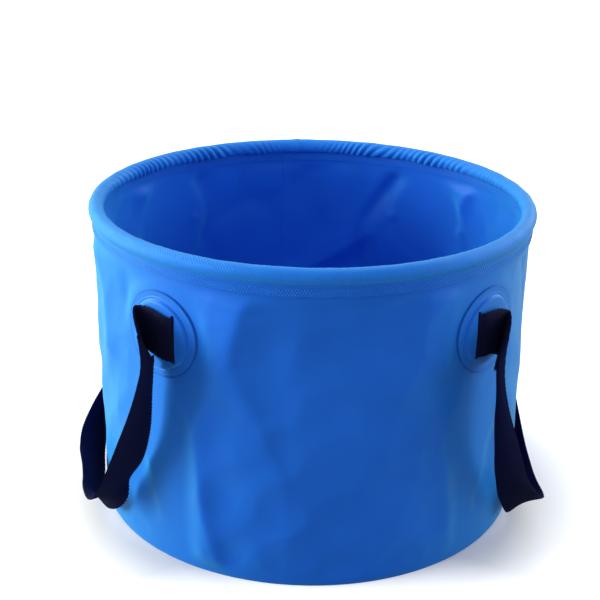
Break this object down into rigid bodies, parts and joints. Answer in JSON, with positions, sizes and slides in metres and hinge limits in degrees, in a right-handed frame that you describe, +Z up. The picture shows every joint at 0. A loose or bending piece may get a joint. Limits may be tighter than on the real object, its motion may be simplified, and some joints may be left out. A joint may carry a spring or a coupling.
{
  "type": "storage bucket",
  "caption": "Open round collapsible bucket of coated fabric with a hooped rim, welded floor and webbing carrying straps held in round patches.",
  "frame": {"origin": "centre of the underside of the floor, level with the foot of the wall", "axes": "+Z up to the mouth; -Y is the pictured front; the straps hang at +X and -X; the back seam is at +Y"},
  "size_m": [0.3235, 0.3062, 0.2181],
  "materials": {
    "wall_fabric": "satin coated fabric, creased",
    "floor_fabric": "satin coated fabric",
    "sleeve_fabric": "coated fabric with a diagonal ribbed face",
    "patch_fabric": "satin coated fabric",
    "hoop_plastic": "smooth extruded tube",
    "joiner_plastic": "moulded",
    "webbing": "woven navy webbing"
  },
  "bodies": {
    "rim": {"rim_sleeve": "sleeve_fabric", "rim_hoop": "hoop_plastic", "hoop_joiner": "joiner_plastic", "wall": "wall_fabric"},
    "base": {"floor_disc": "floor_fabric"},
    "handle_mounts": {"front_left_patch": "patch_fabric", "front_right_patch": "patch_fabric", "rear_left_patch": "patch_fabric", "rear_right_patch": "patch_fabric"},
    "left_handle": {"left_strap": "webbing"},
    "right_handle": {"right_strap": "webbing"}
  },
  "joints": [
    {"name": "base_lift", "type": "slide", "parent": "rim", "child": "base", "axis": [0, 0, 1], "range_m": [0, 0.15], "deforming": ["wall"]},
    {"name": "patch_rise", "type": "slide", "parent": "rim", "child": "handle_mounts", "axis": [0, 0, 1], "range_m": [0, 0.0135], "deforming": ["front_left_patch", "front_right_patch", "rear_left_patch", "rear_right_patch"]},
    {"name": "left_swing", "type": "hinge", "parent": "handle_mounts", "child": "left_handle", "pos_m": [-0.095, 0, 0.162], "axis": [0, 1, 0], "range_deg": [0, 150], "deforming": ["left_strap"]},
    {"name": "right_swing", "type": "hinge", "parent": "handle_mounts", "child": "right_handle", "pos_m": [0.095, 0, 0.162], "axis": [0, -1, 0], "range_deg": [0, 150], "deforming": ["right_strap"]}
  ],
  "couplings": [
    {"joint": "patch_rise", "follows": "base_lift", "ratio": 0.09}
  ]
}
